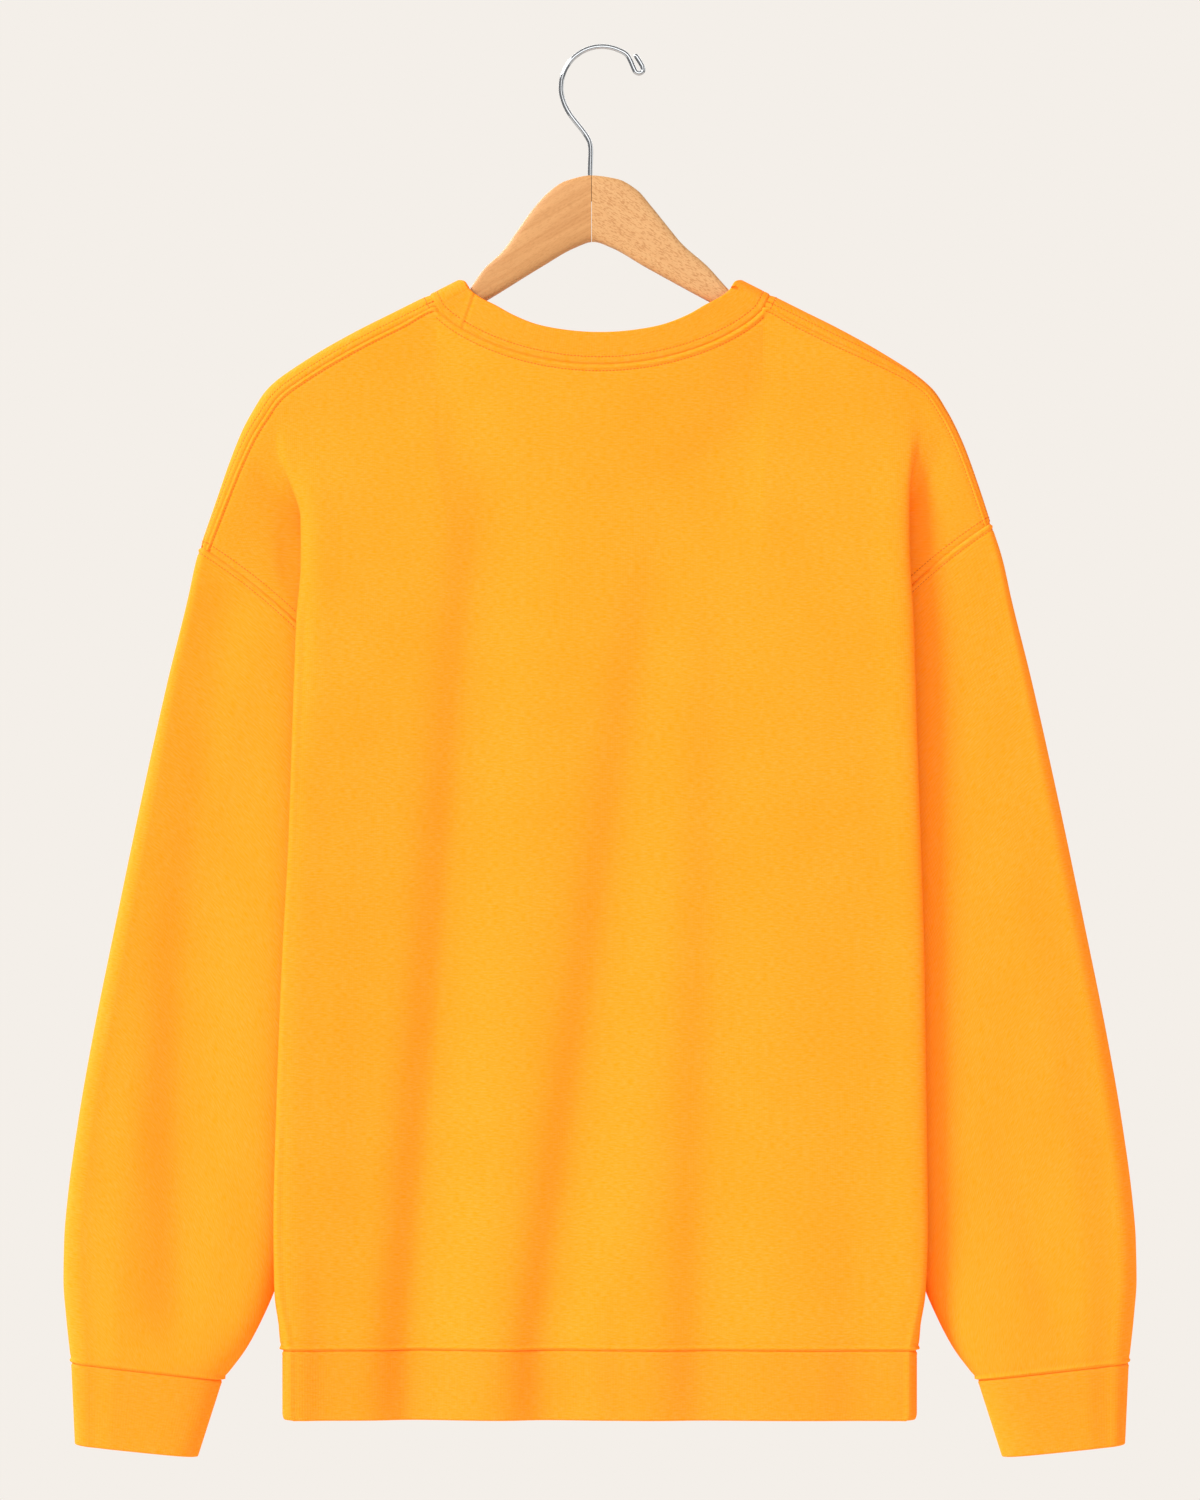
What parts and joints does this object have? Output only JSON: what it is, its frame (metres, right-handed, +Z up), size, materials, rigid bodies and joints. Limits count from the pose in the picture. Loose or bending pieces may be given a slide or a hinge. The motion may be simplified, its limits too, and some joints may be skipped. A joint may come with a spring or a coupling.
{
  "type": "crewneck sweatshirt on a wooden hanger",
  "caption": "Long-sleeved crewneck sweatshirt hanging on a two-part wooden hanger with a wire hook, shown from its back.",
  "frame": {"origin": "inner top of the hook's arch, where a rail carries the hanger", "axes": "+Z up along the hanging garment, -Y out of the garment's back, +X to the wearer's right"},
  "size_m": [0.7181, 0.059, 0.9465],
  "materials": {
    "fleece": "brushed-back cotton fleece, matt",
    "rib": "fine 1x1 rib knit, matt",
    "beech_left": "lacquered, satin",
    "beech_right": "lacquered, satin",
    "hook_wire": "polished chrome plate"
  },
  "bodies": {
    "root": {"back_panel": "fleece", "front_panel": "fleece", "sleeve_left": "fleece", "sleeve_right": "fleece", "collar_rib": "rib", "cuff_left": "rib", "cuff_right": "rib", "hem_rib": "rib", "hanger_arm_left": "beech_left", "hanger_arm_right": "beech_right", "hanger_hook": "hook_wire"}
  },
  "joints": []
}
